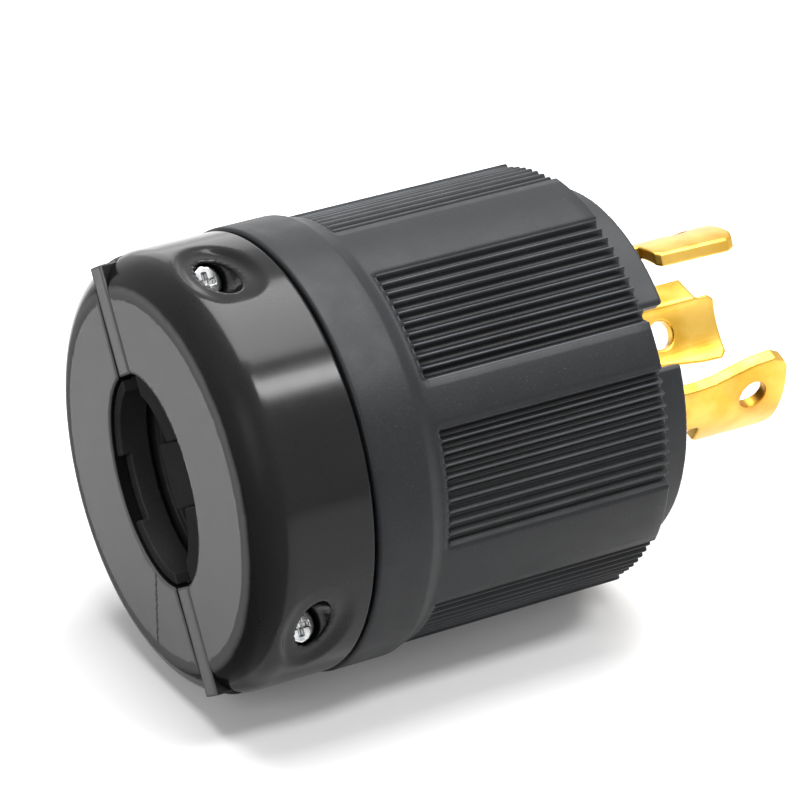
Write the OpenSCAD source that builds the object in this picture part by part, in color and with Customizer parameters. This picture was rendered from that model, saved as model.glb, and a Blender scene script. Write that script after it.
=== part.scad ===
// Three-blade locking power plug with a split cord clamp cap.
// Every module is drawn about the plug's own axis (+Z from the cord end to the
// blade tips, +X through the clamp half that carries the screws, +Y along the
// parting line). It stands on the flat rear face of the cap, because on its
// side it would roll, and placed() gives it its turn about the axis.

/* [Cord clamp cap] */
// Outer radius of the cap
cap_r = 28; // [27.6:0.1:28.2]
// Length of the cap along the axis
cap_len = 15.4; // [15:0.1:15.5]
// Radius of the rounded rear edge
cap_round = 5; // [3:0.5:6]
// Half length of the oval cord opening, along the parting line
opening_y = 13.6; // [13.2:0.1:14]
// Half width of the oval cord opening, across the parting line
opening_x = 10.8; // [10.2:0.1:11.2]
// Distance of each clamp screw from the axis
clamp_screw_y = 21.4; // [21:0.1:21.8]
// Position of the clamp screws along the axis
clamp_screw_z = 8.2; // [7.8:0.1:8.6]
// Radius of the round recess about each clamp screw
scoop_r = 4.8; // [4:0.1:5]

/* [Housing] */
// Start of the housing behind the seam
seam_z = 15.7; // [15.6:0.1:16]
// Outer radius of the smooth collar band
band_r = 28.3; // [28.2:0.1:28.6]
// End of the collar band
band_end = 23.2; // [22.5:0.1:23.5]
// Start of the ribbed grip
grip_start = 25.6; // [25:0.1:26]
// End of the ribbed grip
grip_end = 57.6; // [57:0.1:58]
// Outer radius of the grip
grip_r = 27.1; // [26.9:0.1:27.3]
// Outer radius of the smooth lands between the rib groups
land_r = 27.5; // [27.3:0.1:27.7]
// Depth of the V grooves below the rib crests
groove_depth = 0.8; // [0.5:0.1:1]
// Thickness of the two fins between the clamp halves
fin_t = 3.3; // [3:0.1:3.4]
// Outer reach of the fins from the axis
fin_r = 27.2; // [27:0.1:27.4]

/* [Front] */
// Outer radius of the contact carrier and its rim
carrier_r = 23.5; // [23.3:0.1:23.6]
// Rear face of the contact carrier
carrier_z = 40; // [39:0.5:41]
// Blade face, recessed inside the rim
face_z = 58; // [57.8:0.1:58.6]
// Front edge of the rim
rim_z = 62.5; // [62:0.1:63]
// Thickness of the rim
rim_t = 2; // [1.8:0.1:2.4]
// Width of the notch in the rim, in degrees
notch_deg = 19.2; // [16:0.2:20]

/* [Blades] */
// Outer radius of the curved blades
blade_r = 13.5; // [13.3:0.1:13.6]
// Thickness of the blades
blade_t = 1.6; // [1.4:0.1:1.8]
// Tip of the two line blades
line_tip = 84.4; // [83:0.1:85]
// Tip of the longer ground blade
ground_tip = 89.8; // [88:0.1:91]
// Diameter of the hole near each blade tip
blade_hole = 3.9; // [3.2:0.1:4]

/* [Hidden] */

fin_h = fin_t / 2;            // half thickness of a fin
turn = 148.3;                 // turn of the whole plug about its axis
blade_in = blade_r - blade_t; // inner radius of the blades
blade_root = 41.5;            // rear end of every blade, inside the carrier
chamber_r = 22.4;             // wiring chamber
chamber_z = 18.6;             // front of the housing's rear wall
// Angle of each blade about the axis: line 1, line 2, ground
blade_deg = [-81.3, 50.7, 183.2];
// Angle of each terminal, on the middle of the blade's neck
term_deg = [-87.4, 44.6, 179.2];
// Angle and radius of the three long body screws
body_deg = [-21.4, 111.9, 226];
body_rho = 18.2;
// Groove angles: ten and eight wide groups beside narrow and wide smooth lands
pitch = 3.22;
rib_groups = [[22.5, 10], [71.6, 8], [108.4, 8], [157.5, 10],
              [202.5, 10], [251.6, 8], [288.4, 8], [337.5, 10]];
groove_deg = [for (g = rib_groups) for (i = [0 : g[1] - 1]) g[0] + (i - (g[1] - 1) / 2) * pitch];

// Points of a half or whole ellipse
function oval(a, b, n = 48) = [for (i = [0 : n - 1]) [a * cos(360 * i / n), b * sin(360 * i / n)]];

// The plug's own turn about its upright axis
module placed() {
    rotate([0, 0, turn]) children();
}

// A cylinder across the plug, along local +X
module cross_cyl(r, x0, x1, y, z) {
    translate([x0, y, z]) rotate([0, 90, 0]) cylinder(r = r, h = x1 - x0, $fn = 32);
}

// ---- cord clamp cap -------------------------------------------------------

// Whole cap before it is split: rounded disc with the oval cord opening
module cap_disc() {
    n = 12;
    difference() {
        rotate_extrude($fn = 96)
            polygon(concat([[0, 0]],
                [for (i = [0 : n]) [cap_r - cap_round + cap_round * sin(90 * i / n),
                                    cap_round - cap_round * cos(90 * i / n)]],
                [[cap_r, cap_len - 0.4], [cap_r - 0.4, cap_len], [0, cap_len]]));
        translate([0, 0, -1]) linear_extrude(cap_len + 2) polygon(oval(opening_x, opening_y));
    }
}

// Cored-out space behind the cap's face, so that its walls stay even
module cap_core(side) {
    intersection() {
        rotate_extrude($fn = 96) translate([15.6, 4.2]) square([8.2, cap_len]);
        translate([side > 0 ? 7 : -30, -13, 0]) cube([23, 26, cap_len + 2]);
    }
}

// Round recess about a screw hole, with a sloping floor that runs out beside the hole
module scoop(side) {
    intersection() {
        translate([0, side * clamp_screw_y, clamp_screw_z]) rotate([0, 90, 0])
            cylinder(r = scoop_r, h = 32, $fn = 48);
        rotate([0, 0, side * 61]) translate([26.6, -12, -2]) cube([12, 24, 22]);
    }
}

module cord_clamp_half_a() {
    color("#2b2c2e") placed() difference() {
        cap_disc();
        translate([-40 + fin_h, -40, -1]) cube([40, 80, cap_len + 2]);
        // shadow line along the parting edge
        translate([0, -40, -1]) cube([fin_h + 0.15, 80, 1.6]);
        cap_core(1);
        for (s = [-1, 1]) {
            cross_cyl(1.6, 0, 30, s * clamp_screw_y, clamp_screw_z);
            cross_cyl(2.35, 10.4, 32, s * clamp_screw_y, clamp_screw_z);
            scoop(s);
        }
    }
}

module cord_clamp_half_b() {
    // The flat face is relieved toward the cord opening
    color("#2b2c2e") placed() difference() {
        cap_disc();
        translate([0, 0, -1]) linear_extrude(cap_len + 2)
            polygon([[40, -40], [-fin_h, -40], [-fin_h, -25],
                     [-fin_h - 0.6, -13], [-fin_h - 0.6, 13],
                     [-fin_h, 25], [-fin_h, 40], [40, 40]]);
        cap_core(-1);
        for (s = [-1, 1]) {
            cross_cyl(1.6, -16, 0, s * clamp_screw_y, clamp_screw_z);
            translate([-30, s * clamp_screw_y - 2.75, clamp_screw_z - 2.75])
                cube([30 - 10.5, 5.5, 5.5]);
        }
    }
}

// ---- cord grip inserts ----------------------------------------------------

// Half ring with a notch in its rear face and a grip groove in its bore
module insert_ring(side, in_x, in_y) {
    z0 = 0.5;
    z1 = 13;
    difference() {
        // seated in the cap behind a narrow shadow gap
        union() for (p = [[z0, z0 + 1.5, 0.25], [z0 + 1.5, z1, 0]])
            translate([0, 0, p[0]]) linear_extrude(p[1] - p[0]) difference() {
                polygon(oval(opening_x - p[2], opening_y - p[2]));
                polygon(oval(in_x, in_y));
                translate([side > 0 ? -40 + fin_h + 0.35 : -fin_h - 0.75, -20]) square([40, 40]);
            }
        // notch in the middle of the rear face
        translate([side > 0 ? 0 : -12, -4.15, z0 - 1]) cube([12, 8.3, 2.1]);
        // grip grooves in the bore
        for (z = [4.4, 8]) translate([0, 0, z]) linear_extrude(1.6) intersection() {
            polygon(oval(in_x + 1, in_y + 0.9));
            translate([side > 0 ? 0 : -20, -20]) square([20, 40]);
        }
    }
}

module cord_grip_insert_a() {
    color("#3c3d3f") placed() union() {
        insert_ring(1, 6.4, 11);
        // pressing tongue that reaches toward the cord
        translate([0, 4.1, 0]) rotate([90, 0, 0]) linear_extrude(8.2)
            polygon([[10.1, 2.0], [9.8, 1.6], [2.6, 0.9], [2.2, 1.2], [2.2, 1.7],
                     [6, 3.6], [7.6, 4.2], [9.8, 4.2]]);
    }
}

module cord_grip_insert_b() {
    color("#3c3d3f") placed() insert_ring(-1, 8.8, 12);
}

// ---- clamp screws and nuts ------------------------------------------------

module clamp_screw(s) {
    y = s * clamp_screw_y;
    color("#c9ccd0") placed() difference() {
        union() {
            cross_cyl(1.45, -12.6, 10.6, y, clamp_screw_z);
            translate([10.4, y, clamp_screw_z]) rotate([0, 90, 0]) {
                cylinder(r = 2.2, h = 1.7, $fn = 48);
                translate([0, 0, 1.7]) cylinder(r1 = 2.2, r2 = 1.7, h = 0.5, $fn = 48);
            }
        }
        // cross recess in the head
        for (a = [0, 90]) translate([12.6, y, clamp_screw_z]) rotate([a, 0, 0])
            cube([2.4, 0.6, 2.4], center = true);
    }
}

module clamp_screw_1() { clamp_screw(-1); }
module clamp_screw_2() { clamp_screw(1); }

module clamp_nut(s) {
    color("#b9bcc0") placed() difference() {
        translate([-12.9, s * clamp_screw_y - 2.65, clamp_screw_z - 2.65]) cube([2.4, 5.3, 5.3]);
        cross_cyl(1.45, -14, 0, s * clamp_screw_y, clamp_screw_z);
    }
}

module clamp_nut_1() { clamp_nut(-1); }
module clamp_nut_2() { clamp_nut(1); }

// ---- housing shell --------------------------------------------------------

// One V groove along the grip
module groove() {
    w = 0.68;
    translate([0, 0, grip_start + 0.5]) linear_extrude(grip_end - grip_start + 1)
        polygon([[grip_r - groove_depth, 0], [grip_r + 0.8, w * 2], [grip_r + 0.8, -w * 2]]);
}

module housing_shell() {
    color("#26282b") placed() difference() {
        union() {
            rotate_extrude($fn = 96)
                polygon([[0, seam_z], [band_r - 0.4, seam_z], [band_r, seam_z + 0.4],
                         [band_r, band_end], [land_r, grip_start - 0.8],
                         [land_r, grip_end], [0, grip_end]]);
            // anti-rotation fins between the clamp halves, flush with the cap's face
            for (s = [-1, 1]) translate([-fin_h, s > 0 ? opening_y - 0.2 : -fin_r, 0])
                cube([fin_t, fin_r - opening_y + 0.2, chamber_z - 1]);
        }
        // each rib group lies a little below the lands
        for (g = rib_groups) rotate([0, 0, g[0] - g[1] * pitch / 2])
            translate([0, 0, grip_start]) rotate_extrude(angle = g[1] * pitch, $fn = 96)
                translate([grip_r, 0]) square([3, 40]);
        for (a = groove_deg) rotate([0, 0, a]) groove();
        // wiring chamber and the seat of the contact carrier, with three screw bosses left in
        difference() {
            translate([0, 0, chamber_z]) cylinder(r = chamber_r, h = carrier_z - chamber_z, $fn = 96);
            for (a = body_deg) rotate([0, 0, a]) translate([body_rho, 0, chamber_z - 1])
                cylinder(r = 3.4, h = carrier_z - chamber_z + 1, $fn = 32);
            for (a = body_deg) rotate([0, 0, a]) translate([body_rho, -1, chamber_z - 1])
                cube([8, 2, carrier_z - chamber_z + 1]);
        }
        translate([0, 0, carrier_z]) cylinder(r = carrier_r + 0.1, h = 30, $fn = 96);
        // wire hole in the rear wall
        translate([0, 0, seam_z - 1]) cylinder(r = 12, h = 6, $fn = 64);
        // pilot holes in the bosses
        for (a = body_deg) rotate([0, 0, a]) translate([body_rho, 0, 22])
            cylinder(r = 1.45, h = 30, $fn = 24);
        // clearance holes for the clamp screws
        for (s = [-1, 1]) cross_cyl(1.7, -4, 4, s * clamp_screw_y, clamp_screw_z);
    }
}

// ---- contact carrier ------------------------------------------------------

// Neck of a blade, as the slot in the carrier sees it
module neck_slot() {
    c = 0;
    intersection() {
        difference() {
            translate([0, 0, blade_root]) cylinder(r = blade_r + c, h = 20, $fn = 96);
            translate([0, 0, blade_root - 1]) cylinder(r = blade_in - c, h = 22, $fn = 96);
        }
        translate([0, -4.6 - c, blade_root]) cube([20, 6.5 + 2 * c, 20]);
    }
}

module contact_carrier() {
    color("#313336") placed() difference() {
        translate([0, 0, carrier_z]) cylinder(r = carrier_r, h = rim_z - carrier_z, $fn = 96);
        translate([0, 0, face_z]) cylinder(r = carrier_r - rim_t, h = 10, $fn = 96);
        // notch in the rim
        rotate([0, 0, -2.2]) intersection() {
            translate([0, 0, face_z + 0.3]) linear_extrude(10)
                polygon([[0, 0], [40 * cos(notch_deg / 2), -40 * sin(notch_deg / 2)],
                         [40 * cos(notch_deg / 2), 40 * sin(notch_deg / 2)]]);
            translate([15, -10, face_z - 1]) cube([20, 20, 12]);
        }
        for (i = [0 : 2]) {
            rotate([0, 0, blade_deg[i]]) neck_slot();
            // terminal pocket, open at the rear and at the side
            rotate([0, 0, term_deg[i]]) translate([8, -5.4, carrier_z - 1]) cube([18, 10.8, 13]);
            // body screw hole and its counterbore
            rotate([0, 0, body_deg[i]]) translate([body_rho, 0, carrier_z - 1]) {
                cylinder(r = 1.6, h = 30, $fn = 24);
                translate([0, 0, face_z - carrier_z - 1.2]) cylinder(r = 2.8, h = 10, $fn = 48);
            }
        }
    }
}

// ---- blades ---------------------------------------------------------------

// A plate bent to the blade radius: a flat outline in (width, length), wrapped on a tube
module curved_plate(outline) {
    intersection() {
        difference() {
            cylinder(r = blade_r, h = 100, $fn = 96);
            translate([0, 0, -1]) cylinder(r = blade_in, h = 102, $fn = 96);
        }
        rotate([90, 0, 90]) linear_extrude(20) polygon(outline);
    }
}

module line_blade_shape(tip) {
    difference() {
        curved_plate([[-4.6, blade_root], [1.9, blade_root], [1.9, 71.6], [2.2, 72.0],
                      [5.2, 72.3], [5.8, 73.0], [6.1, tip - 1.6], [5.6, tip - 0.5], [4.6, tip],
                      [-4.6, tip], [-5.6, tip - 0.6], [-6.1, tip - 1.9], [-5.9, 79.5],
                      [-5.4, 76.5], [-4.8, 73.6], [-4.6, 71]]);
        translate([0, -1.5, tip - 5]) rotate([0, 90, 0]) cylinder(d = blade_hole, h = 30, $fn = 48);
        terminal_hole();
    }
}

// Tapped hole in the blade's root for the terminal screw
module terminal_hole(turn = -6.1) {
    rotate([0, 0, turn]) translate([0, 0, 46.5]) rotate([0, 90, 0]) cylinder(r = 1.7, h = 30, $fn = 24);
}

module line_blade_1() { color("#d9a441") placed() rotate([0, 0, blade_deg[0]]) line_blade_shape(line_tip); }
module line_blade_2() { color("#d9a441") placed() rotate([0, 0, blade_deg[1]]) line_blade_shape(line_tip); }

module ground_blade() {
    edge = 4.3;
    color("#d9a441") placed() rotate([0, 0, blade_deg[2]]) difference() {
        union() {
            curved_plate([[-3.4, blade_root], [1.9, blade_root], [1.9, 73], [edge, 73],
                          [edge, ground_tip - 0.9], [edge - 0.7, ground_tip], [-3.6, ground_tip],
                          [-4.4, ground_tip - 0.8], [-4.3, 86], [-3.4, 79], [-3.4, 74]]);
            // bent leg along one edge
            translate([0, 0, 73]) linear_extrude(13.8)
                polygon([[11.15, edge - 0.25], [12.65, edge - 0.25], [14.9, edge + 1.5],
                         [14.6, edge + 2.5], [13.9, edge + 2.8], [11.15, edge + 0.45]]);
        }
        translate([0, 0.6, 80.9]) rotate([0, 90, 0]) cylinder(d = blade_hole - 0.1, h = 30, $fn = 48);
        terminal_hole(-4);
    }
}

// ---- terminals ------------------------------------------------------------

module terminal_plate(i) {
    color("#b9bcc0") placed() rotate([0, 0, term_deg[i]]) difference() {
        translate([blade_r, -4, 42.5]) cube([1.3, 8, 8]);
        translate([0, 0, 46.5]) rotate([0, 90, 0]) cylinder(r = 1.8, h = 30, $fn = 24);
    }
}

module terminal_plate_1() { terminal_plate(0); }
module terminal_plate_2() { terminal_plate(1); }
module terminal_plate_3() { terminal_plate(2); }

module terminal_screw(i) {
    color("#c9ccd0") placed() rotate([0, 0, term_deg[i]]) difference() {
        translate([0, 0, 46.5]) rotate([0, 90, 0]) {
            translate([0, 0, 9.2]) cylinder(r = 1.7, h = 8, $fn = 24);
            translate([0, 0, blade_r + 1.3]) cylinder(r = 3.1, h = 2, $fn = 48);
        }
        translate([blade_r + 3.3, 0, 46.5]) cube([1.6, 8, 0.9], center = true);
    }
}

module terminal_screw_1() { terminal_screw(0); }
module terminal_screw_2() { terminal_screw(1); }
module terminal_screw_3() { terminal_screw(2); }

// ---- body screws ----------------------------------------------------------

module body_screw(i) {
    color("#c9ccd0") placed() rotate([0, 0, body_deg[i]]) translate([body_rho, 0, 0]) difference() {
        union() {
            translate([0, 0, 24]) cylinder(r = 1.45, h = face_z - 26, $fn = 24);
            translate([0, 0, face_z - 2.2]) cylinder(r = 2.6, h = 1.9, $fn = 48);
        }
        translate([0, 0, face_z - 0.4]) for (a = [0, 90]) rotate([0, 0, a])
            cube([3, 0.7, 1.8], center = true);
    }
}

module body_screw_1() { body_screw(0); }
module body_screw_2() { body_screw(1); }
module body_screw_3() { body_screw(2); }

housing_shell();
cord_clamp_half_a();
cord_clamp_half_b();
cord_grip_insert_a();
cord_grip_insert_b();
clamp_screw_1();
clamp_screw_2();
clamp_nut_1();
clamp_nut_2();
contact_carrier();
line_blade_1();
line_blade_2();
ground_blade();
terminal_plate_1();
terminal_plate_2();
terminal_plate_3();
terminal_screw_1();
terminal_screw_2();
terminal_screw_3();
body_screw_1();
body_screw_2();
body_screw_3();
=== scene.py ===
"""A three-blade locking power plug with a split cord clamp cap, on its cord end.

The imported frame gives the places. Each moulded or stamped piece that shows is
meshed here from its own signed distance field or its own turned profile, so
that its edges are rounded as they come out of a mould or a press.
"""

from __future__ import annotations

import logging
import math
from dataclasses import dataclass, field
from enum import Enum
from typing import Any, Callable, Sequence

import bpy
import numpy as np
from mathutils import Matrix, Vector

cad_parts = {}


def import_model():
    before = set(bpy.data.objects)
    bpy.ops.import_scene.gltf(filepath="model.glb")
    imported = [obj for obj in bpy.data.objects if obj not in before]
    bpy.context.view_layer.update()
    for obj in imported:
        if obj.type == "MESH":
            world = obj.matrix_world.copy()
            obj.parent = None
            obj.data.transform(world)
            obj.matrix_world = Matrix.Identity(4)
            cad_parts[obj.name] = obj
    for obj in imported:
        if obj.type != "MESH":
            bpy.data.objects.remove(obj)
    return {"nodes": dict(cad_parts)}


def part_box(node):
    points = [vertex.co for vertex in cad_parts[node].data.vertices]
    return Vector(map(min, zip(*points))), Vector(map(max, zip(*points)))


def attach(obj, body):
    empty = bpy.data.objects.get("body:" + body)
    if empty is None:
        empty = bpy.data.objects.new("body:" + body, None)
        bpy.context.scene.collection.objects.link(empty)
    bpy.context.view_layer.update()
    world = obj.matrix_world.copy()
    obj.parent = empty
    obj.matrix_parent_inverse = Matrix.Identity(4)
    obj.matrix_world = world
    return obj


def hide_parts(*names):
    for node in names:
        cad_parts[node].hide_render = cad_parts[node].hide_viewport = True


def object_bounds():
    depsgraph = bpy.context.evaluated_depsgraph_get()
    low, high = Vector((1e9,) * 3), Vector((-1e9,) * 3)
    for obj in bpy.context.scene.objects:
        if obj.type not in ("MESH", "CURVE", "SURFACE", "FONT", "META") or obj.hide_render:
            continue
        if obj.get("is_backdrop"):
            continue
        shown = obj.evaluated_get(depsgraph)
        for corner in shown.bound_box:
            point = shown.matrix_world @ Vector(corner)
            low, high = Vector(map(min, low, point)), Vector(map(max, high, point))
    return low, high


LOG = logging.getLogger("power_plug")
MM = 0.001
Array = np.ndarray
Triple = tuple[float, float, float]


# ---------------------------------------------------------------- the axes


@dataclass(frozen=True)
class PlugAxes:
    """Turns the plug's own axes into the shared frame.

    The plug's own Z runs from the cord end to the blade tips, its own X goes
    through the clamp half with the screws, and Y along the parting line.
    """

    centre: tuple[float, float]
    rear: float
    turn: float = math.radians(148.3)

    @classmethod
    def from_frame(cls) -> "PlugAxes":
        """Reads the axis from the housing, whose collar is the widest circle."""
        low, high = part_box("housing_shell")
        return cls(((low.x + high.x) / 2, (low.y + high.y) / 2), low.z)

    def place(self, points: Array) -> Array:
        """Moves points into the shared frame.

        Args:
            points: An N by 3 array in the plug's own axes, in millimetres.

        Returns:
            The same points in the shared frame, in metres.
        """
        cos, sin = math.cos(self.turn), math.sin(self.turn)
        x, y, z = points.T
        return np.column_stack(
            (
                self.centre[0] + (x * cos - y * sin) * MM,
                self.centre[1] + (x * sin + y * cos) * MM,
                self.rear + z * MM,
            )
        )


# ---------------------------------------------------------- distance fields


@dataclass(frozen=True)
class Field:
    """A solid as a distance field: negative inside, in millimetres."""

    at: Callable[[Array], Array]

    def __neg__(self) -> "Field":
        """Everything outside this solid."""
        return Field(lambda p: -self.at(p))

    def __or__(self, other: "Field") -> "Field":
        """Both solids together, with a sharp line where they meet."""
        return Field(lambda p: np.minimum(self.at(p), other.at(p)))

    def __and__(self, other: "Field") -> "Field":
        """What the two solids share."""
        return Field(lambda p: np.maximum(self.at(p), other.at(p)))

    def __sub__(self, other: "Field") -> "Field":
        """This solid with the other cut out of it."""
        return self & -other

    def meet(self, other: "Field", radius: float) -> "Field":
        """What the two share, with the edge between them rounded.

        Args:
            other: The second solid.
            radius: The radius of the rounded edge.

        Returns:
            The rounded overlap.
        """

        def at(p: Array) -> Array:
            """The rounded overlap's distance."""
            a, b = self.at(p), other.at(p)
            bend = np.hypot(np.maximum(a + radius, 0), np.maximum(b + radius, 0))
            return np.minimum(np.maximum(a, b), -radius) + bend

        return Field(at)

    def cut(self, tool: "Field", radius: float) -> "Field":
        """This solid with a tool taken out and the new edge rounded."""
        return self.meet(-tool, radius)

    def join(self, other: "Field", radius: float) -> "Field":
        """Both solids, with a fillet of that radius where they meet."""
        return -((-self).meet(-other, radius))

    def turned(self, degrees: float) -> "Field":
        """This solid turned about the plug's axis."""
        cos, sin = math.cos(math.radians(degrees)), math.sin(math.radians(degrees))

        def at(p: Array) -> Array:
            """The turned solid's distance."""
            x, y, z = p.T
            return self.at(np.column_stack((x * cos + y * sin, y * cos - x * sin, z)))

        return Field(at)


def above(column: int, value: float) -> Field:
    """Everything past a value along one axis."""
    return Field(lambda p: value - p[:, column])


def below(column: int, value: float) -> Field:
    """Everything short of a value along one axis."""
    return Field(lambda p: p[:, column] - value)


def slab(column: int, low: float, high: float) -> Field:
    """What lies between two values along one axis."""
    return Field(lambda p: np.abs(p[:, column] - (low + high) / 2) - (high - low) / 2)


def rod(columns: tuple[int, int], centre: tuple[float, float], radius: float) -> Field:
    """An endless rod across two axes.

    Args:
        columns: The two axes that its circle lies in.
        centre: The circle's centre on those axes.
        radius: The rod's radius.

    Returns:
        The rod's field.
    """
    a, b = columns
    return Field(lambda p: np.hypot(p[:, a] - centre[0], p[:, b] - centre[1]) - radius)


def oval(half_x: float, half_y: float) -> Field:
    """An endless oval rod about the plug's axis."""

    def at(p: Array) -> Array:
        """A first-order distance to the oval."""
        near = np.hypot(p[:, 0] / half_x, p[:, 1] / half_y)
        slope = np.hypot(p[:, 0] / half_x**2, p[:, 1] / half_y**2)
        return near * (near - 1) / np.maximum(slope, 1e-6)

    return Field(at)


def outline(columns: tuple[int, int], corners: Sequence[tuple[float, float]]) -> Field:
    """An endless prism over an outline.

    Args:
        columns: The two axes that the outline is drawn on.
        corners: The outline's corners in order.

    Returns:
        The prism's field.
    """

    def at(p: Array) -> Array:
        """The exact distance to the outline."""
        u, v = p[:, columns[0]], p[:, columns[1]]
        best = np.full(len(p), 1e9)
        inside = np.zeros(len(p), bool)
        for (ax, ay), (bx, by) in zip(corners, [*corners[1:], corners[0]]):
            ex, ey = bx - ax, by - ay
            along = ((u - ax) * ex + (v - ay) * ey) / max(ex * ex + ey * ey, 1e-12)
            along = np.clip(along, 0, 1)
            best = np.minimum(best, np.hypot(u - ax - along * ex, v - ay - along * ey))
            if ay != by:
                crosses = (ay > v) != (by > v)
                inside ^= crosses & (u < ax + (v - ay) * ex / ey)
        return np.where(inside, -best, best)

    return Field(at)


def lines(*runs: tuple[float, float, float]) -> Array:
    """Grid lines in runs, each with its start, its end and its spacing."""
    parts = [
        np.linspace(a, b, max(2, round((b - a) / step) + 1))[:-1] for a, b, step in runs
    ]
    return np.concatenate([*parts, [runs[-1][1]]])


def span(array: Array, axis: int, start: int, length: int) -> Array:
    """A stretch of an array along one axis."""
    pick = [slice(None)] * array.ndim
    pick[axis] = slice(start, start + length)
    return array[tuple(pick)]


@dataclass(frozen=True)
class Skin:
    """A mesh in the plug's own axes: its points, and its faces by index."""

    points: Array
    faces: list[tuple[int, ...]]

    def warped(self, rule: Callable[[Array], Array]) -> "Skin":
        """The same mesh with its points moved by a rule."""
        return Skin(rule(self.points), self.faces)


def skin_of(solid: Field, grid: tuple[Array, Array, Array]) -> Skin:
    """Wraps a closed mesh of quads round a solid.

    Each grid cell that the surface crosses gets one point, which is then drawn
    onto the surface, and each grid edge that it crosses gets one quad.

    Args:
        solid: The solid's field.
        grid: The grid lines along the three axes.

    Returns:
        The mesh.
    """
    counts = tuple(len(g) for g in grid)
    nodes = np.stack(np.meshgrid(*grid, indexing="ij"), -1)
    value = solid.at(nodes.reshape(-1, 3)).reshape(counts)
    cells = tuple(n - 1 for n in counts)
    total = np.zeros((*cells, 3))
    hits = np.zeros(cells)
    crossings = []
    for axis in range(3):
        size = counts[axis] - 1
        a, b = span(value, axis, 0, size), span(value, axis, 1, size)
        crossed = (a < 0) != (b < 0)
        share = np.where(crossed, a / np.where(crossed, a - b, 1), 0)[..., None]
        start, end = span(nodes, axis, 0, size), span(nodes, axis, 1, size)
        spot = (start + share * (end - start)) * crossed[..., None]
        u, v = (axis + 1) % 3, (axis + 2) % 3
        for du in (0, 1):
            for dv in (0, 1):
                part = span(span(spot, u, du, cells[u]), v, dv, cells[v])
                flag = span(span(crossed, u, du, cells[u]), v, dv, cells[v])
                total += part
                hits += flag
        crossings.append((crossed, a < 0))
    used = hits > 0
    index = np.full(cells, -1)
    index[used] = np.arange(used.sum())
    points = total[used] / hits[used][:, None]
    quads = []
    for axis, (crossed, inward) in enumerate(crossings):
        u, v = (axis + 1) % 3, (axis + 2) % 3
        where = np.argwhere(crossed)
        inner = (where[:, u] > 0) & (where[:, u] < counts[u] - 1)
        inner &= (where[:, v] > 0) & (where[:, v] < counts[v] - 1)
        where = where[inner]
        ring = []
        for du, dv in ((1, 1), (0, 1), (0, 0), (1, 0)):
            cell = where.copy()
            cell[:, u] -= du
            cell[:, v] -= dv
            ring.append(index[tuple(cell.T)])
        ring_array = np.column_stack(ring)
        flip = ~inward[tuple(where.T)]
        ring_array[flip] = ring_array[flip][:, ::-1]
        quads.append(ring_array)
    points = settle(solid, points, max(float(np.max(np.diff(g))) for g in grid))
    return Skin(points, [tuple(q) for q in np.vstack(quads).tolist()])


def settle(solid: Field, points: Array, reach: float, rounds: int = 5) -> Array:
    """Draws points onto a solid's surface.

    Args:
        solid: The solid's field.
        points: The points to move.
        reach: The furthest that a point may move in one round.
        rounds: How many times it is done.

    Returns:
        The moved points.
    """
    step = 0.004
    for _ in range(rounds):
        here = solid.at(points)
        slope = np.empty_like(points)
        for axis in range(3):
            nudge = np.zeros(3)
            nudge[axis] = step
            slope[:, axis] = solid.at(points + nudge) - solid.at(points - nudge)
        slope /= 2 * step
        steep = np.maximum((slope**2).sum(1), 0.25)
        move = -(here / steep)[:, None] * slope
        length = np.maximum(np.linalg.norm(move, axis=1), 1e-9)
        points = points + move * np.minimum(1, 0.5 * reach / length)[:, None]
    return points


# ------------------------------------------------------------ shader nodes

Value = Any


@dataclass(frozen=True)
class Wire:
    """One output socket of a material, with arithmetic on it."""

    graph: "Graph"
    socket: bpy.types.NodeSocket

    def _math(self, operation: str, first: Value, second: Value = 0.0) -> "Wire":
        """Adds one Math node."""
        return self.graph.node(
            "ShaderNodeMath", {"operation": operation}, {0: first, 1: second}
        )

    def __add__(self, other: Value) -> "Wire":
        """The sum."""
        return self._math("ADD", self, other)

    __radd__ = __add__

    def __sub__(self, other: Value) -> "Wire":
        """The difference."""
        return self._math("SUBTRACT", self, other)

    def __rsub__(self, other: Value) -> "Wire":
        """The difference, the other way round."""
        return self._math("SUBTRACT", other, self)

    def __mul__(self, other: Value) -> "Wire":
        """The product."""
        return self._math("MULTIPLY", self, other)

    __rmul__ = __mul__

    def __pow__(self, other: Value) -> "Wire":
        """The power."""
        return self._math("POWER", self, other)

    def larger(self, other: Value) -> "Wire":
        """The larger of the two."""
        return self._math("MAXIMUM", self, other)

    def ramp(self, low: float, high: float) -> "Wire":
        """Nought below low, one above high, and smooth between them."""
        return self.graph.node(
            "ShaderNodeMapRange",
            {"interpolation_type": "SMOOTHSTEP"},
            {"Value": self, "From Min": low, "From Max": high},
        )


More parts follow.
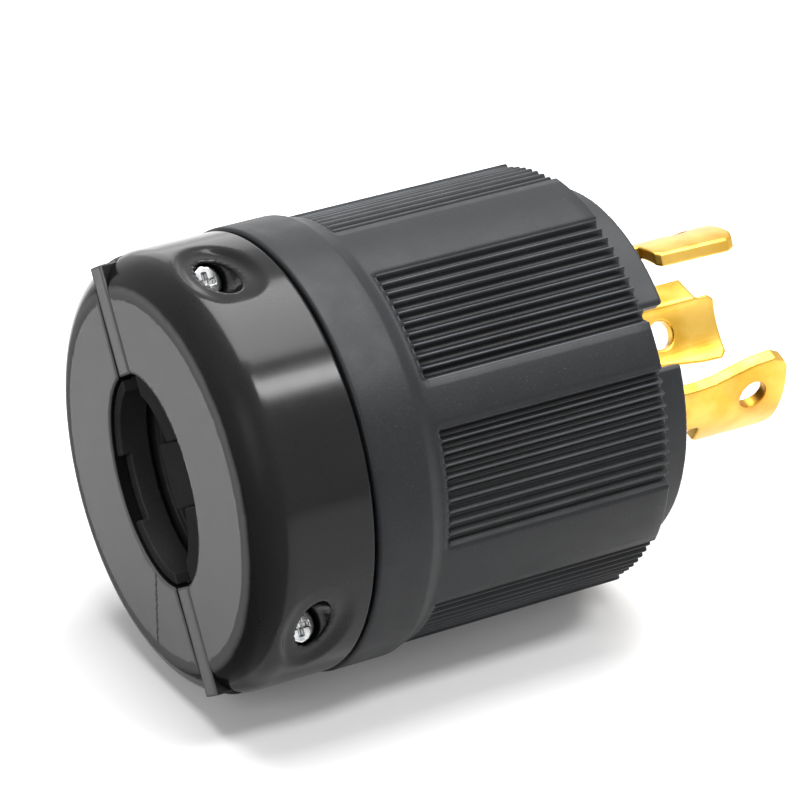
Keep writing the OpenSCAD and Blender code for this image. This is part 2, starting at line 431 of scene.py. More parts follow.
@dataclass
class Graph:
    """The node tree of one material."""

    tree: bpy.types.NodeTree

    def node(
        self,
        kind: str,
        settings: dict[str, Any] | None = None,
        values: dict[int | str, Value] | None = None,
        output: int | str = 0,
    ) -> Wire:
        """Adds a node.

        Args:
            kind: The node's type.
            settings: Its settings, set before its sockets.
            values: Numbers, colours or wires for its sockets.
            output: The output socket that is wanted.

        Returns:
            That output.
        """
        made = self.tree.nodes.new(kind)
        for name, setting in (settings or {}).items():
            setattr(made, name, setting)
        for key, value in (values or {}).items():
            if isinstance(value, Wire):
                self.tree.links.new(value.socket, made.inputs[key])
            else:
                made.inputs[key].default_value = value
        return Wire(self, made.outputs[output])

    def noise(self, where: Wire, scale: float, detail: float = 2.0) -> Wire:
        """Soft cloud noise, from nought to one."""
        return self.node(
            "ShaderNodeTexNoise",
            {},
            {"Vector": where, "Scale": scale, "Detail": detail},
        )

    def blend(self, share: Value, first: Value, second: Value) -> Wire:
        """Mixes two colours."""
        return self.node(
            "ShaderNodeMix",
            {"data_type": "RGBA"},
            {"Factor": share, 6: first, 7: second},
            2,
        )

    def stretched(self, where: Wire, scale: Triple) -> Wire:
        """The place scaled along each axis."""
        return self.node(
            "ShaderNodeVectorMath", {"operation": "MULTIPLY"}, {0: where, 1: scale}
        )

    def part(self, where: Wire, axis: int) -> Wire:
        """One axis of a place."""
        return self.node("ShaderNodeSeparateXYZ", {}, {0: where}, axis)


def rgba(colour: Triple) -> tuple[float, float, float, float]:
    """A colour with full alpha."""
    return (*colour, 1.0)


@dataclass(frozen=True)
class Finish:
    """What every finish of the plug has in common."""

    label: str
    colour: Triple
    roughness: float

    def make(self) -> bpy.types.Material:
        """Builds the material."""
        material = bpy.data.materials.new(self.label)
        material.use_nodes = True
        tree = material.node_tree
        tree.nodes.clear()
        graph = Graph(tree)
        shader = graph.node("ShaderNodeBsdfPrincipled", {}, {}, "BSDF")
        end = tree.nodes.new("ShaderNodeOutputMaterial")
        tree.links.new(shader.socket, end.inputs["Surface"])
        place = graph.node("ShaderNodeTexCoord", {}, {}, "Object")
        self.dress(graph, shader.socket.node, place)
        return material

    def dress(self, graph: Graph, shader: bpy.types.Node, place: Wire) -> None:
        """Sets the shader's sockets; each kind of finish has its own."""
        raise NotImplementedError

    @staticmethod
    def feed(graph: Graph, shader: bpy.types.Node, values: dict[str, Value]) -> None:
        """Puts numbers or wires on the shader's sockets."""
        for name, value in values.items():
            if isinstance(value, Wire):
                graph.tree.links.new(value.socket, shader.inputs[name])
            else:
                shader.inputs[name].default_value = value


@dataclass(frozen=True)
class MouldedPlastic(Finish):
    """Moulded plastic: a faint mottle, a spark-eroded grain and a few pale specks that are
    painted glints; where crest_r is set, painted shade fills the grooves and a painted
    highlight runs along the crests.
    """

    tint: Triple = (0.05, 0.05, 0.052)
    gloss: float = 0.5
    grain: float = 0.012
    grain_scale: float = 3200.0
    specks: float = 0.0
    crest_highlight: Triple = (0.075, 0.08, 0.088)
    face: Triple | None = None
    face_at: float = 0.0
    crest_r: float = 0.0

    def dress(self, graph: Graph, shader: bpy.types.Node, place: Wire) -> None:
        """Colours the plastic and grains its surface."""
        mottle = graph.noise(place, 90.0, 4.0).ramp(0.32, 0.68)
        fine = graph.noise(place, self.grain_scale, 2.0)
        cloud = graph.noise(place, 420.0, 3.0)
        share = mottle * 0.55 + fine.ramp(0.35, 0.7) * 0.45
        colour = graph.blend(share, rgba(self.colour), rgba(self.tint))
        rough = self.roughness * (0.72 + cloud * 0.36 + fine * 0.2)
        if self.face:
            along = graph.part(place, 2) + (cloud - 0.5) * 0.0001
            face = 1 - along.ramp(self.face_at + 0.00005, self.face_at + 0.0003)
            rough = rough + face * 0.3
            colour = graph.blend(face, colour, rgba(self.face))
        if self.crest_r:
            out = (graph.part(place, 0) ** 2 + graph.part(place, 1) ** 2) ** 0.5
            # Painted shade: the grooves below the crest radius are blended towards black.
            deep = 1 - out.ramp(self.crest_r - 0.00065, self.crest_r - 0.00008)
            # Painted highlight: a lighter line along the rib crests, varied by the mottle.
            rim = out.ramp(self.crest_r - 0.0001, self.crest_r - 0.00001)
            rim = rim * (1 - out.ramp(self.crest_r + 0.00005, self.crest_r + 0.00012))
            colour = graph.blend(deep * 0.7, colour, rgba((0.002, 0.002, 0.0025)))
            colour = graph.blend(rim * (0.35 + mottle * 0.5), colour, rgba(self.crest_highlight))
        if self.specks:
            # Painted glints: sparse pale specks from thresholded fine noise.
            glint_specks = graph.noise(place, 5200.0, 1.0).ramp(0.72, 0.8) * self.specks
            colour = graph.blend(glint_specks, colour, rgba((0.42, 0.43, 0.45)))
        height = fine * 0.7 + cloud * 0.3
        bump = graph.node(
            "ShaderNodeBump",
            {},
            {"Strength": 1.0, "Distance": self.grain * MM, "Height": height},
        )
        values = {
            "Base Color": colour,
            "Roughness": rough,
            "Normal": bump,
            "Specular IOR Level": self.gloss,
        }
        self.feed(graph, shader, values)


@dataclass(frozen=True)
class BrassStock(Finish):
    """Stamped brass: drawn streaks, and brown tarnish in cloudy patches."""

    tarnish: Triple = (0.3, 0.11, 0.02)
    pale: Triple = (0.76, 0.48, 0.1)

    def dress(self, graph: Graph, shader: bpy.types.Node, place: Wire) -> None:
        """Colours the brass and draws its streaks."""
        streak = graph.noise(graph.stretched(place, (1.0, 1.0, 0.08)), 2600.0, 3.0)
        cloud = graph.noise(place, 210.0, 4.0)
        stain = graph.noise(place, 95.0, 5.0).ramp(0.5, 0.72)
        colour = graph.blend(cloud.ramp(0.35, 0.7), rgba(self.colour), rgba(self.pale))
        colour = graph.blend(stain * 0.45, colour, rgba(self.tarnish))
        rough = self.roughness + (cloud - 0.5) * 0.2 + stain * 0.12
        bump = graph.node(
            "ShaderNodeBump",
            {},
            {"Strength": 1.0, "Distance": 0.012 * MM, "Height": streak},
        )
        self.feed(
            graph,
            shader,
            {"Base Color": colour, "Roughness": rough, "Normal": bump, "Metallic": 1.0},
        )


@dataclass(frozen=True)
class ZincPlate(Finish):
    """Bright zinc on steel, with fine turning marks."""

    shade: Triple = (0.5, 0.51, 0.52)

    def dress(self, graph: Graph, shader: bpy.types.Node, place: Wire) -> None:
        """Colours the plate and its turning marks."""
        cloud = graph.noise(place, 700.0, 3.0)
        fine = graph.noise(place, 4200.0, 2.0)
        colour = graph.blend(cloud.ramp(0.4, 0.7), rgba(self.colour), rgba(self.shade))
        bump = graph.node(
            "ShaderNodeBump",
            {},
            {"Strength": 1.0, "Distance": 0.01 * MM, "Height": fine},
        )
        rough = self.roughness + (cloud - 0.5) * 0.2
        self.feed(
            graph,
            shader,
            {"Base Color": colour, "Roughness": rough, "Normal": bump, "Metallic": 1.0},
        )


class Slot(Enum):
    """The record's material slots."""

    HOUSING = "housing_black"
    CAP = "cap_black"
    INSERT = "insert_black"
    CARRIER = "carrier_black"
    BRASS = "blade_brass"
    SCREW = "screw_steel"
    TERMINAL = "terminal_steel"


@dataclass
class FinishShelf:
    """One material for each slot, made when it is first asked for."""

    rear: float
    made: dict[Slot, bpy.types.Material] = field(default_factory=dict)

    def finish(self, slot: Slot) -> Finish:
        """The finish that belongs to a slot."""
        shelf: dict[Slot, Finish] = {
            Slot.HOUSING: MouldedPlastic(
                "moulded_housing", (0.007, 0.0078, 0.009), 0.46,
                # specks sets the strength of the painted glints; crest_r places the painted
                # groove shade and crest highlight.
                tint=(0.014, 0.0155, 0.0178), gloss=0.26, grain=0.016, specks=0.15,
                crest_r=0.0271,
            ),
            Slot.CAP: MouldedPlastic(
                "moulded_cap", (0.007, 0.007, 0.0072), 0.17,
                tint=(0.011, 0.011, 0.0112), gloss=0.22, grain=0.0015,
                face=(0.15, 0.149, 0.148), face_at=self.rear,
            ),
            Slot.INSERT: MouldedPlastic(
                "moulded_insert", (0.026, 0.026, 0.026), 0.5,
                tint=(0.04, 0.04, 0.04), gloss=0.25, grain=0.01,
            ),
            Slot.CARRIER: MouldedPlastic(
                "moulded_carrier", (0.014, 0.015, 0.017), 0.45,
                tint=(0.019, 0.0205, 0.0225), gloss=0.3, grain=0.01,
            ),
            Slot.BRASS: BrassStock("stamped_brass", (0.66, 0.37, 0.045), 0.3),
            Slot.SCREW: ZincPlate("bright_zinc", (0.86, 0.87, 0.88), 0.22),
            Slot.TERMINAL: ZincPlate("plated_terminal", (0.7, 0.7, 0.7), 0.35),
        }
        return shelf[slot]

    def take(self, slot: Slot) -> bpy.types.Material:
        """The slot's material."""
        if slot not in self.made:
            self.made[slot] = self.finish(slot).make()
        return self.made[slot]


# ------------------------------------------------------------- the workshop


@dataclass
class Workshop:
    """Turns meshes into pieces of the plug and hands out their finishes."""

    axes: PlugAxes
    shelf: FinishShelf
    nodes: dict[str, bpy.types.Object]

    def piece(
        self, name: str, skin: Skin, slot: Slot, stands_for: str
    ) -> bpy.types.Object:
        """Makes one piece.

        Args:
            name: The piece's name.
            skin: Its mesh in the plug's own axes.
            slot: The material slot that it takes its finish from.
            stands_for: The frame's node that it replaces.

        Returns:
            The object, riding on the plug.
        """
        mesh = bpy.data.meshes.new(name)
        mesh.from_pydata(self.axes.place(skin.points).tolist(), [], skin.faces)
        mesh.validate()
        mesh.materials.append(self.shelf.take(slot))
        mesh.shade_smooth()
        made = bpy.data.objects.new(name, mesh)
        bpy.context.scene.collection.objects.link(made)
        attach(made, "root")
        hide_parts(stands_for)
        LOG.info("%s: %d faces for %s", name, len(mesh.polygons), stands_for)
        return made

    def keep(self, node: str, slot: Slot) -> None:
        """Gives a node of the frame its finish and leaves its shape."""
        slots = self.nodes[node].data.materials
        slots.clear()
        slots.append(self.shelf.take(slot))
        LOG.info("%s keeps its shape in %s", node, slot.value)


# ------------------------------------------------------------- the housing


@dataclass
class HousingShell:
    """The ribbed housing, its collar band and its two parting fins."""

    band_r: float = 28.3
    land_r: float = 27.5
    sunk: float = 0.4
    seam_z: float = 15.7
    band_end: float = 23.2
    grip_start: float = 25.6
    grip_end: float = 57.6
    depth: float = 0.8
    pitch: float = 3.22
    fin_half: float = 1.65
    fin_r: float = 27.2
    groups: tuple[tuple[float, int], ...] = (
        (22.5, 10), (71.6, 8), (108.4, 8), (157.5, 10),
        (202.5, 10), (251.6, 8), (288.4, 8), (337.5, 10),
    )
    steps: tuple[float, ...] = (0.16, 0.34, 0.52, 0.68, 0.82, 0.92, 1.0)

    def round_the_grip(self) -> tuple[Array, Array]:
        """Angles round the plug, and how deep the grooves are at each.

        Returns:
            The angles in degrees, and the depths in millimetres.
        """
        angles: list[float] = []
        depths: list[float] = []
        for centre, count in self.groups:
            for number in range(count):
                middle = centre + (number - (count - 1) / 2) * self.pitch
                for step in (*(-s for s in self.steps[::-1]), 0.0, *self.steps):
                    share = min(1.0, max(0.0, (0.94 - abs(step)) / 0.7))
                    soft = share * share * (3 - 2 * share)
                    angles.append((middle + step * self.pitch / 2) % 360)
                    depths.append(self.sunk + self.depth * (0.35 * share + 0.65 * soft))
            for edge in (-1, 1):
                angles.append((centre + edge * (count * self.pitch / 2 + 0.25)) % 360)
                depths.append(0.0)
        grooved = np.array(angles)
        smooth = np.arange(0, 360, 2.0)
        gap = np.abs((smooth[:, None] - grooved[None] + 180) % 360 - 180).min(1)
        smooth = smooth[gap > 0.6]
        angles_all = np.concatenate((grooved, smooth))
        depths_all = np.concatenate((depths, np.zeros(len(smooth))))
        order = np.argsort(angles_all, kind="stable")
        angles_all, depths_all = angles_all[order], depths_all[order]
        fresh = np.append(np.diff(angles_all) > 0.02, True)
        return angles_all[fresh], depths_all[fresh]

    def profile(self) -> list[Triple]:
        """The turned section as (z, radius, share of the groove)."""
        band, grip, seam, end = self.band_r, self.land_r, self.seam_z, self.grip_end
        rows: list[Triple] = [
            (18.6, 12.0, 0), (seam + 0.2, 12.0, 0), (seam, 12.2, 0), (seam, 20.0, 0),
            (seam, band - 0.5, 0), (seam + 0.06, band - 0.24, 0),
            (seam + 0.24, band - 0.06, 0), (seam + 0.5, band, 0),
        ]
        rows += [(z, band, 0) for z in (17.5, 19.5, 21.5, self.band_end - 0.35)]
        rows += [
            (self.band_end - 0.1, band - 0.03, 0), (self.band_end + 0.15, band - 0.11, 0),
            (24.0, 27.86, 0), (24.7, 27.54, 0), (self.grip_start - 0.5, grip, 0),
            (self.grip_start - 0.05, grip, 0), (self.grip_start + 0.1, grip, 0.3),
            (self.grip_start + 0.36, grip, 0.34), (self.grip_start + 0.48, grip, 0.62),
            (self.grip_start + 0.62, grip, 0.9), (self.grip_start + 0.85, grip, 1),
        ]
        rows += [(z, grip, 1) for z in (28.0, 32.0, 37.0, 42.0, 47.0, 52.0, 55.5)]
        rows += [
            (end - 0.3, grip, 1), (end - 0.12, grip - 0.06, 1), (end - 0.03, grip - 0.16, 1),
            (end, grip - 0.34, 1), (end, 25.0, 0), (end, 23.9, 0), (end - 0.1, 23.66, 0),
            (end - 0.3, 23.6, 0), (50.0, 23.6, 0), (40.0, 23.6, 0), (40.0, 22.4, 0),
            (30.0, 22.4, 0), (18.6, 22.4, 0),
        ]
        return rows

    def shell(self) -> Skin:
        """Turns the section round the axis, with the grooves pressed in."""
        angles, depths = self.round_the_grip()
        rows = np.array(self.profile())
        turn = np.radians(angles)
        radius = rows[:, 1][:, None] - rows[:, 2][:, None] * depths[None]
        points = np.stack(
            (
                radius * np.cos(turn),
                radius * np.sin(turn),
                np.repeat(rows[:, 0][:, None], len(turn), 1),
            ),
            -1,
        ).reshape(-1, 3)
        wide, tall = len(turn), len(rows)
        faces = []
        for row in range(tall):
            for col in range(wide):
                right, up = (col + 1) % wide, (row + 1) % tall
                faces.append(
                    (
                        row * wide + col,
                        row * wide + right,
                        up * wide + right,
                        up * wide + col,
                    )
                )
        return Skin(points, faces)

    def fin(self, side: int) -> Skin:
        """One fin between the clamp halves, with its screw's clearance hole."""
        near, far = (13.4, self.fin_r) if side > 0 else (-self.fin_r, -13.4)
        body = slab(0, -self.fin_half, self.fin_half).meet(slab(1, near, far), 0.15)
        body = body.meet(slab(2, 0, 17.0), 0.2)
        body = body.cut(rod((1, 2), (side * 21.4, 8.2), 1.7), 0.1)
        grid = (
            lines((-1.9, -1.4, 0.12), (-1.4, 1.4, 0.4), (1.4, 1.9, 0.12)),
            lines(
                (near - 0.3, near + 0.3, 0.12),
                (near + 0.3, far - 0.3, 0.35),
                (far - 0.3, far + 0.3, 0.12),
            ),
            lines((-0.3, 0.4, 0.12), (0.4, 16.7, 0.35), (16.7, 17.3, 0.15)),
        )
        return skin_of(body, grid)

    def build(self, shop: Workshop) -> None:
        """Makes the shell and the fins."""
        shop.piece("grip_shell", self.shell(), Slot.HOUSING, "housing_shell")
        for side, name in ((-1, "parting_fin_upper"), (1, "parting_fin_lower")):
            shop.piece(name, self.fin(side), Slot.CAP, "housing_shell")


# ------------------------------------------------------- the cord clamp cap


@dataclass
class ClampCap:
    """The two halves of the cap, their screws and their grip inserts."""

    radius: float = 28.0
    length: float = 15.4
    rounding: float = 5.0
    open_x: float = 10.8
    open_y: float = 13.6
    screw_y: float = 21.4
    screw_z: float = 8.2
    fin_half: float = 1.65
    scoop_r: float = 4.8
    scoop_lean: float = 57.0
    scoop_out: float = 27.1
    scoop_corner: float = 1.5
    hole_r: float = 1.6
    head_bore_r: float = 2.35
    head_seat_x: float = 10.4
    nut_half_width: float = 2.75
    nut_seat_x: float = -10.5

    def disc(self) -> Field:
        """The whole cap before it is split."""
        body = rod((0, 1), (0, 0), self.radius).meet(above(2, 0), self.rounding)
        body = body.meet(below(2, self.length), 0.35)
        return body.cut(oval(self.open_x, self.open_y), 0.16)

    def core(self, side: int) -> Field:
        """The cored-out space behind the cap's face."""
        ring = rod((0, 1), (0, 0), 23.8) - rod((0, 1), (0, 0), 15.6)
        reach = above(0, 7) if side > 0 else below(0, -7)
        return ring & slab(1, -13, 13) & above(2, 4.2) & reach

    def scoop(self, side: int) -> Field:
        """The round recess about a sunken screw, with its sloping floor."""
        lean = math.radians(self.scoop_lean)
        cos, sin = math.cos(lean), side * math.sin(lean)
        wall = rod((1, 2), (side * self.screw_y, self.screw_z), self.scoop_r)
        floor = Field(lambda p: self.scoop_out - (p[:, 0] * cos + p[:, 1] * sin))
        return wall.meet(floor, self.scoop_corner)

    def screw_half(self) -> Field:
        """The half with the screw holes and the scoops."""
        body = self.disc().meet(above(0, self.fin_half), 0.14) - self.core(1)
        body = body.cut(below(0, self.fin_half + 0.24) & below(2, 2.0), 0.1)
        for side in (-1, 1):
            body = body.cut(self.scoop(side), 0.6)
            spot = (side * self.screw_y, self.screw_z)
            body = body.cut(rod((1, 2), spot, self.hole_r), 0.1)
            bore = rod((1, 2), spot, self.head_bore_r) & above(0, self.head_seat_x)
            body = body.cut(bore, 0.16)
        return body

    def nut_half(self) -> Field:
        """The half with the nut pockets and the relieved flat face."""
        body = self.disc() - self.core(-1)
        face = outline(
            (0, 1),
            [
                (-1.9, -40), (-2.0, -25), (-2.35, -13), (-2.35, 13),
                (-2.0, 25), (-1.9, 40), (-60, 40), (-60, -40),
            ],
        )
        body = body.meet(face, 0.14)
        for side in (-1, 1):
            y, z, half = side * self.screw_y, self.screw_z, self.nut_half_width
            body = body.cut(rod((1, 2), (y, z), self.hole_r), 0.1)
            pocket = slab(1, y - half, y + half) & slab(2, z - half, z + half)
            body = body.cut(pocket & below(0, self.nut_seat_x), 0.22)
        return body

    def half_grid(self, side: int) -> tuple[Array, Array, Array]:
        """Grid lines that are closer along the parting face and both ends."""
        across = lines((1.2, 2.5, 0.16), (2.5, 28.3, 0.36))
        return (
            across if side > 0 else -across[::-1],
            lines((-28.4, 28.4, 0.36)),
            lines((-0.3, 0.75, 0.13), (0.75, 14.8, 0.36), (14.8, 15.7, 0.15)),
        )

    def insert(self, side: int) -> Field:
        """A grip insert: half a ring with a notch and grooves in its bore."""
        in_x, in_y = (6.4, 11.0) if side > 0 else (8.8, 12.0)
        seat = oval(self.open_x - 0.02, self.open_y - 0.02) & above(2, 2.0)
        lip = oval(self.open_x - 0.25, self.open_y - 0.25).meet(above(2, 0.5), 0.12)
        body = (seat | lip) & below(2, 13)
        body = body.cut(oval(in_x, in_y), 0.1)
        limit = above(0, self.fin_half + 0.35) if side > 0 else below(0, -self.fin_half - 0.75)
        body = body.meet(limit, 0.1)
        notch = slab(1, -4.15, 4.15) & below(2, 1.6)
        body = body.cut(notch, 0.08)
        for low in (4.4, 8.0):
            body = body - (oval(in_x + 1, in_y + 0.9) & slab(2, low, low + 1.6))
        middle_x, middle_y = (self.open_x + in_x) / 2, (self.open_y + in_y) / 2
        ring = oval(middle_x + 0.55, middle_y + 0.1) - oval(middle_x + 0.42, middle_y - 0.03)
        body = body - (ring & below(2, 0.62) & slab(1, -9.4, 9.4))
        if side > 0:
            tongue = outline(
                (0, 2),
                [
                    (10.1, 2.0), (9.8, 1.6), (2.6, 0.9), (2.2, 1.2), (2.2, 1.7),
                    (6.0, 3.6), (7.6, 4.2), (9.8, 4.2),
                ],
            ).meet(slab(1, -4.1, 4.1), 0.12)
            body = body | tongue
        return body

    def screw(self, side: int) -> Field:
        """A clamp screw with a cross recess in its domed head."""
        y, z = side * self.screw_y, self.screw_z
        head = rod((1, 2), (y, z), 2.2).meet(below(0, 12.55), 0.45) & above(0, 10.4)
        for turn in (0.0, 90.0):
            bar = slab(1, y - 0.32, y + 0.32) & slab(2, z - 1.25, z + 1.25)
            if turn:
                bar = slab(2, z - 0.32, z + 0.32) & slab(1, y - 1.25, y + 1.25)
            head = head.cut(bar & above(0, 11.5), 0.08)
        shank = rod((1, 2), (y, z), 1.42).meet(above(0, -12.6), 0.3) & below(0, 10.6)
        return head | shank

    def build(self, shop: Workshop) -> None:
        """Makes the halves, the inserts and the screws."""
        halves = (
            (1, "cap_half_screws", self.screw_half(), "cord_clamp_half_a"),
            (-1, "cap_half_nuts", self.nut_half(), "cord_clamp_half_b"),
        )
        for side, name, solid, node in halves:
            shop.piece(name, skin_of(solid, self.half_grid(side)), Slot.CAP, node)
        inserts = (
            (1, "grip_insert_tongued", "cord_grip_insert_a"),
            (-1, "grip_insert_plain", "cord_grip_insert_b"),
        )
        for side, name, node in inserts:
            across = lines((1.7, 11.0, 0.2))
            grid = (
                across if side > 0 else -across[::-1],
                lines((-13.9, 13.9, 0.25)),
                lines((0.3, 2.4, 0.12), (2.4, 13.3, 0.3)),
            )
            shop.piece(name, skin_of(self.insert(side), grid), Slot.INSERT, node)
        screws = (
            (-1, "cap_screw_upper", "clamp_screw_1"),
            (1, "cap_screw_lower", "clamp_screw_2"),
        )
        for side, name, node in screws:
            grid = (
                lines((-12.9, 10.1, 0.4), (10.1, 12.9, 0.12)),
                lines((side * self.screw_y - 2.5, side * self.screw_y + 2.5, 0.13)),
                lines((self.screw_z - 2.5, self.screw_z + 2.5, 0.13)),
            )
            shop.piece(name, skin_of(self.screw(side), grid), Slot.SCREW, node)
        for node in ("clamp_nut_1", "clamp_nut_2"):
            shop.keep(node, Slot.SCREW)


# --------------------------------------------------------------- the front


@dataclass
class ContactCarrier:
    """The moulded front with its rim, its slots and its screw holes."""

    radius: float = 23.5
    rear: float = 40.0
    face: float = 58.0
    rim: float = 62.5
    rim_wall: float = 2.0
    notch_at: float = -2.2
    notch_width: float = 19.2
    blades: tuple[float, ...] = (-81.3, 50.7, 183.2)
    terminals: tuple[float, ...] = (-87.4, 44.6, 179.2)
    screws: tuple[float, ...] = (-21.4, 111.9, 226.0)
    screw_rho: float = 18.2

    def solid(self) -> Field:
        """The carrier's field."""
        body = rod((0, 1), (0, 0), self.radius).meet(slab(2, self.rear, self.rim), 0.22)
        well = rod((0, 1), (0, 0), self.radius - self.rim_wall) & above(2, self.face)
        body = body.cut(well, 0.2)
        half = math.tan(math.radians(self.notch_width / 2))
        wedge = outline((0, 1), [(0, 0), (40, -40 * half), (40, 40 * half)])
        notch = wedge & above(0, 15) & above(2, self.face + 0.3)
        body = body.cut(notch.turned(self.notch_at), 0.16)
        sweep = Field(lambda p: np.abs(np.hypot(p[:, 0], p[:, 1]) - 12.7) - 0.8)
        for blade, terminal, screw in zip(self.blades, self.terminals, self.screws):
            slot = sweep & slab(1, -4.6, 1.9) & above(2, 41.5) & above(0, 0)
            body = body.cut(slot.turned(blade), 0.08)
            pocket = above(0, 8) & slab(1, -5.4, 5.4) & slab(2, 30, 52)
            body = body.cut(pocket.turned(terminal), 0.15)
            hole = rod((0, 1), (self.screw_rho, 0), 1.6)
            sink = rod((0, 1), (self.screw_rho, 0), 2.8) & above(2, self.face - 2.2)
            body = body.cut(hole.turned(screw), 0.1).cut(sink.turned(screw), 0.18)
        return body

    def build(self, shop: Workshop) -> None:
        """Makes the carrier and finishes the hardware in it."""
        flat = lines((-23.8, 23.8, 0.4))
        deep = lines(
            (39.7, 40.4, 0.18), (40.4, 57.6, 0.55), (57.6, 58.6, 0.16),
            (58.6, 61.9, 0.4), (61.9, 62.8, 0.14),
        )
        front = skin_of(self.solid(), (flat, flat, deep))
        shop.piece("contact_front", front, Slot.CARRIER, "contact_carrier")
        for number in (1, 2, 3):
            shop.keep(f"terminal_plate_{number}", Slot.TERMINAL)
            shop.keep(f"terminal_screw_{number}", Slot.SCREW)
            shop.keep(f"body_screw_{number}", Slot.SCREW)


@dataclass
class BladeSet:
    """The two stepped line blades and the longer ground blade."""

    outer: float = 13.5
    inner: float = 11.9
    root: float = 41.5
    line_tip: float = 84.4
    ground_tip: float = 89.8

    def wrap(self, points: Array) -> Array:
        """From (width, length, radius) to the plug's own axes."""
        width, length, radius = points.T
        return np.column_stack(
            (np.sqrt(np.maximum(radius**2 - width**2, 0)), width, length)
        )

    def line_blade(self) -> Field:
        """A line blade on (width, length, radius)."""
        tip = self.line_tip
        plate = outline(
            (0, 1),
            [
                (-4.6, self.root), (1.9, self.root), (1.9, 71.6), (2.2, 72.0), (5.2, 72.3),
                (5.8, 73.0), (6.1, tip - 1.6), (5.6, tip - 0.5), (4.6, tip), (-4.6, tip),
                (-5.6, tip - 0.6), (-6.1, tip - 1.9), (-5.9, 79.5), (-5.4, 76.5),
                (-4.8, 73.6), (-4.6, 71.0),
            ],
        )
        body = plate.meet(slab(2, self.inner, self.outer), 0.3)
        body = body.cut(rod((0, 1), (-1.5, tip - 5), 1.95), 0.22)
        return body.cut(rod((0, 1), (-1.35, 46.5), 1.7), 0.1)

    def ground_blade(self) -> Field:
        """The ground blade with its bent leg, on (width, length, radius)."""
        tip = self.ground_tip
        plate = outline(
            (0, 1),
            [
                (-3.4, self.root), (1.9, self.root), (1.9, 73.0), (4.3, 73.0),
                (4.3, tip - 0.9), (3.6, tip), (-3.6, tip), (-4.4, tip - 0.8),
                (-4.3, 86.0), (-3.4, 79.0), (-3.4, 74.0),
            ],
        )
        body = plate.meet(slab(2, self.inner, self.outer), 0.3)
        section = outline(
            (0, 1),
            [
                (11.15, 4.05), (12.65, 4.05), (14.9, 5.8), (14.6, 6.8),
                (13.9, 7.1), (11.15, 4.75),
            ],
        ).meet(slab(2, 73.0, 86.8), 0.25)
        leg = Field(lambda p: section.at(self.wrap(p)))
        body = body.join(leg, 0.5)
        body = body.cut(rod((0, 1), (0.6, 80.9), 1.9), 0.22)
        return body.cut(rod((0, 1), (-0.9, 46.5), 1.7), 0.1)

    def build(self, shop: Workshop) -> None:
        """Makes the three blades."""
        line, earth = self.line_blade(), self.ground_blade()
        plan = (
            ("line_blade_upper", -81.3, line, "line_blade_1", self.line_tip, 13.8, 6.4),
            ("line_blade_lower", 50.7, line, "line_blade_2", self.line_tip, 13.8, 6.4),
            ("earth_blade", 183.2, earth, "ground_blade", self.ground_tip, 16.9, 7.4),
        )
        for name, turn, solid, node, tip, reach, wide in plan:
            grid = (
                lines((-6.5, wide, 0.21)),
                lines((41.2, 56.0, 0.5), (56.0, 70.5, 0.4), (70.5, tip + 0.3, 0.21)),
                lines((11.6, reach, 0.17)),
            )
            skin = skin_of(solid, grid).warped(self.wrap)
            cos, sin = math.cos(math.radians(turn)), math.sin(math.radians(turn))
            x, y, z = skin.points.T
            turned = np.column_stack((x * cos - y * sin, x * sin + y * cos, z))
            shop.piece(name, Skin(turned, skin.faces), Slot.BRASS, node)


# --------------------------------------------------------------- the studio


@dataclass(frozen=True)
class SoftBox:
    """One soft lamp: where it hangs, what it faces, its size and its power."""

    name: str
    place: Triple
    aim: Triple
    size: tuple[float, float]
    watts: float


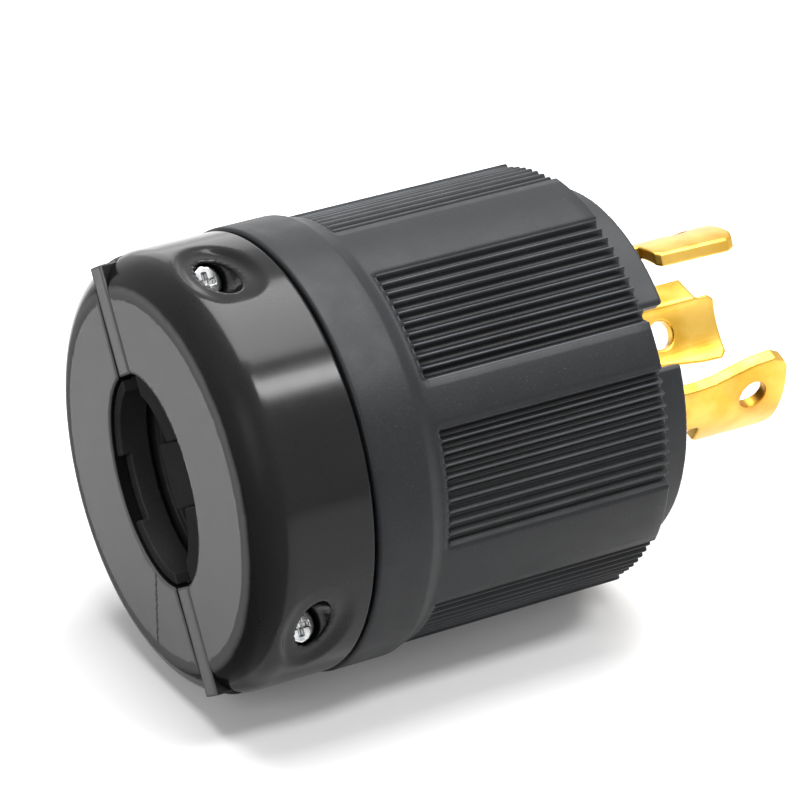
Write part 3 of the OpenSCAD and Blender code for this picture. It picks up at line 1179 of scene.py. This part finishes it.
@dataclass
class Studio:
    """The pale floor, the backdrop, the soft lamps and the camera."""

    camera_place: Triple = (-0.43264, 0.26391, -0.21498)
    camera_right: Triple = (-0.5, 0.0, 0.866)
    camera_up: Triple = (0.4019, 0.8859, 0.2321)
    lens: float = 202.5
    backdrop_y: float = -0.0283
    level: float = 0.27
    glow: float = 0.1
    lamps: tuple[SoftBox, ...] = (
        SoftBox("soft_box_key", (0.12, 0.87, 0.14), (0, 0, 0.03), (0.7, 0.7), 14.0),
        SoftBox("soft_box_front", (-0.5, 0.52, -0.85), (0, 0, 0.03), (0.5, 0.5), 4.0),
        SoftBox("strip_side", (-0.42, 0.76, 0.36), (0, 0, 0.02), (0.14, 0.45), 4.6),
        SoftBox("soft_box_rim", (0.95, 0.24, 0.45), (0, 0, 0.03), (0.5, 0.5), 0.8),
        SoftBox("soft_box_end", (0.15, -0.45, 0.95), (0, 0, 0.05), (0.5, 0.5), 1.6),
    )

    def pale_ray(self, graph: Graph) -> Wire:
        """One for rays that may see the white studio."""
        path = {
            name: graph.node("ShaderNodeLightPath", {}, {}, name)
            for name in ("Is Camera Ray", "Is Glossy Ray", "Is Transmission Ray")
        }
        seen = path["Is Camera Ray"].larger(path["Is Glossy Ray"])
        return seen.larger(path["Is Transmission Ray"])

    def world(self) -> None:
        """A white world to look at and a soft level to light with."""
        world = bpy.data.worlds.new("studio_world")
        bpy.context.scene.world = world
        world.use_nodes = True
        world.node_tree.nodes.clear()
        graph = Graph(world.node_tree)
        strength = self.pale_ray(graph) * (1 - self.level) + self.level
        sky = graph.node(
            "ShaderNodeBackground",
            {},
            {"Color": (1, 1, 1, 1), "Strength": strength},
        )
        end = world.node_tree.nodes.new("ShaderNodeOutputWorld")
        world.node_tree.links.new(sky.socket, end.inputs["Surface"])

    def paint(self) -> bpy.types.Material:
        """Pale paint that keeps shadows and is seen from its front only."""
        material = bpy.data.materials.new("studio_paint")
        material.use_nodes = True
        material.node_tree.nodes.clear()
        graph = Graph(material.node_tree)
        matt = graph.node("ShaderNodeBsdfDiffuse", {}, {"Color": (0.9, 0.9, 0.9, 1)})
        glow = graph.node("ShaderNodeEmission", {}, {"Color": (1, 1, 1, 1)})
        front = graph.node("ShaderNodeMixShader", {}, {0: self.glow, 1: matt, 2: glow})
        clear = graph.node("ShaderNodeBsdfTransparent", {}, {})
        behind = graph.node("ShaderNodeNewGeometry", {}, {}, "Backfacing")
        shown = self.pale_ray(graph) * (1 - behind)
        mixed = graph.node("ShaderNodeMixShader", {}, {0: shown, 1: clear, 2: front})
        end = material.node_tree.nodes.new("ShaderNodeOutputMaterial")
        material.node_tree.links.new(mixed.socket, end.inputs["Surface"])
        return material

    def planes(self) -> None:
        """The floor under the cord end and the backdrop along the collar."""
        paint, reach, back = self.paint(), 4.0, self.backdrop_y
        flat = [(-reach, -reach, 0), (reach, -reach, 0), (reach, reach, 0), (-reach, reach, 0)]
        upright = [(x, back, -y) for x, y, _ in flat]
        for name, ring in (("studio_floor", flat), ("studio_backdrop", upright)):
            mesh = bpy.data.meshes.new(name)
            mesh.from_pydata(ring, [], [(0, 1, 2, 3)])
            mesh.materials.append(paint)
            plane = bpy.data.objects.new(name, mesh)
            bpy.context.scene.collection.objects.link(plane)
            plane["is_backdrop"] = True

    def light(self) -> None:
        """Hangs the soft lamps."""
        for box in self.lamps:
            lamp = bpy.data.lights.new(box.name, "AREA")
            lamp.shape = "RECTANGLE"
            lamp.size, lamp.size_y = box.size
            lamp.energy = box.watts
            hung = bpy.data.objects.new(box.name, lamp)
            hung.location = box.place
            aim = Vector(box.aim) - Vector(box.place)
            hung.rotation_euler = aim.to_track_quat("-Z", "Y").to_euler()
            bpy.context.scene.collection.objects.link(hung)

    def camera(self) -> None:
        """Sets the camera."""
        data = bpy.data.cameras.new("studio_camera")
        data.lens = self.lens
        data.sensor_width = 36.0
        data.clip_start, data.clip_end = 0.01, 50.0
        camera = bpy.data.objects.new("studio_camera", data)
        camera.location = self.camera_place
        right, up = Vector(self.camera_right), Vector(self.camera_up)
        turn = Matrix((right, up, right.cross(up))).transposed()
        camera.rotation_euler = turn.to_euler()
        bpy.context.scene.collection.objects.link(camera)
        bpy.context.scene.camera = camera

    def build(self) -> None:
        """Sets up the whole studio."""
        bpy.context.scene.view_settings.view_transform = "Standard"
        self.world()
        self.planes()
        self.light()
        self.camera()
        LOG.info("studio: %d lamps", len(self.lamps))


def corners(bounds: Sequence[Sequence[float]]) -> list[list[float]]:
    """A box's two corners as plain lists."""
    return [[float(v) for v in corner] for corner in bounds]


def main() -> None:
    """Builds the plug round its frame and sets the studio."""
    logging.basicConfig(level=logging.INFO, format="%(name)s: %(message)s")
    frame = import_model()
    cad_box = corners(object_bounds())
    axes = PlugAxes.from_frame()
    shop = Workshop(axes, FinishShelf(axes.rear), frame["nodes"])
    Studio().build()
    for assembly in (HousingShell(), ClampCap(), ContactCarrier(), BladeSet()):
        assembly.build(shop)
    sizes = {"cad": cad_box, "visual": corners(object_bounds())}


if __name__ == "__main__":
    main()
